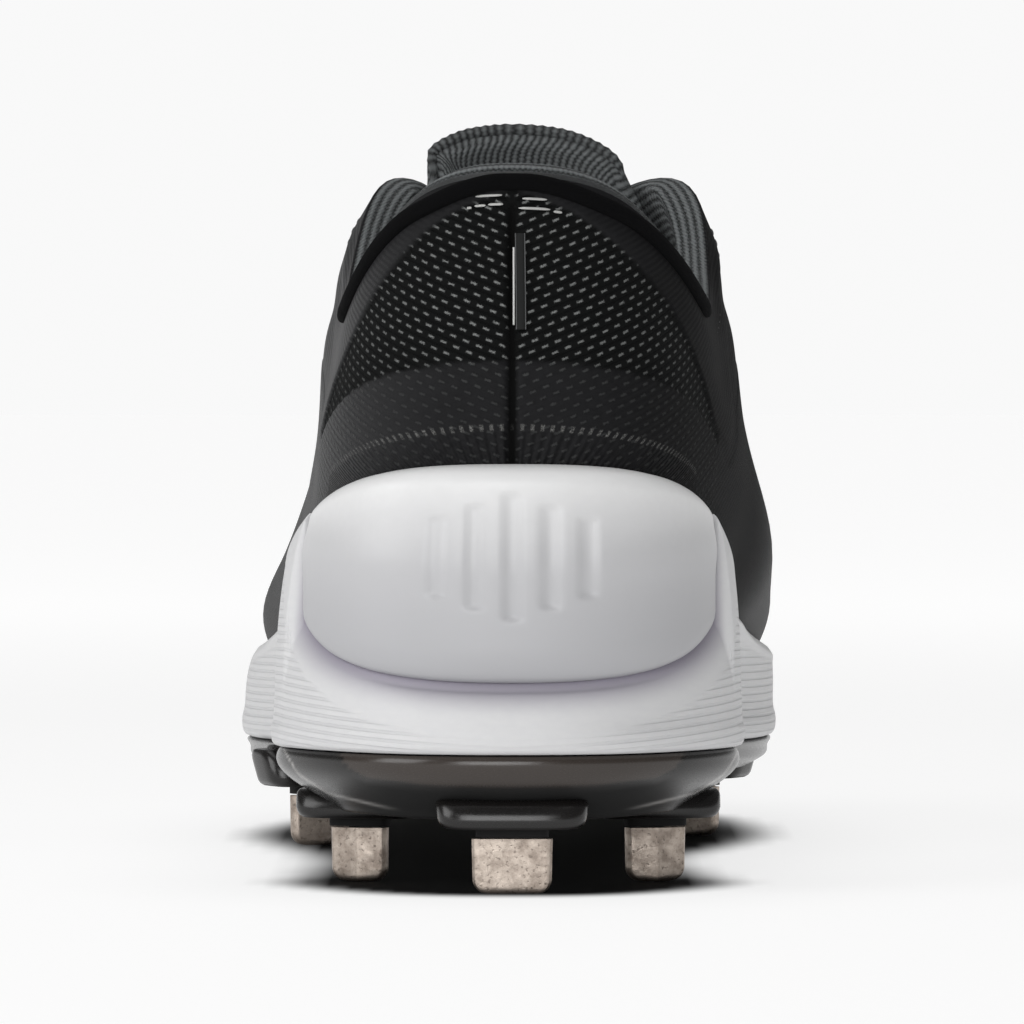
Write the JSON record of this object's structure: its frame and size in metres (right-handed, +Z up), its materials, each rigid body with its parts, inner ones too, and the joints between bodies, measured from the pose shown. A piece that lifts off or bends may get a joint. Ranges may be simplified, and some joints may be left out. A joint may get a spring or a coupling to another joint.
{
  "type": "baseball cleat",
  "caption": "Low-cut left baseball cleat with a mesh upper, knit collar and tongue, white foam midsole with a heel counter, and a hard black plate with metal blade studs.",
  "frame": {"origin": "bottom centre of the bounding box, on the floor the studs stand on", "axes": "+Y from heel to toe, +X to the inner (medial) side, +Z up"},
  "size_m": [0.105, 0.295, 0.1367],
  "materials": {
    "plate_black": "glossy moulded",
    "foam_white": "satin foam",
    "cap_white": "smooth satin",
    "mesh_black": "mesh with glossy raised yarns and a film band",
    "knit_grey": "ribbed knit",
    "insole_cloth": "plain cloth",
    "lace_black": "flat woven",
    "stud_metal": "satin, slightly warm"
  },
  "bodies": {
    "root": {"outsole_plate": "plate_black", "midsole": "foam_white", "heel_cap": "cap_white", "upper": "mesh_black", "tongue": "knit_grey", "insole": "insole_cloth", "laces": "lace_black", "stud_heel_rear": "stud_metal", "stud_heel_outer": "stud_metal", "stud_heel_inner": "stud_metal", "stud_ball_outer": "stud_metal", "stud_fore_outer": "stud_metal", "stud_ball_inner": "stud_metal", "stud_fore_inner": "stud_metal", "stud_toe_outer": "stud_metal", "stud_toe_inner": "stud_metal"}
  },
  "joints": []
}
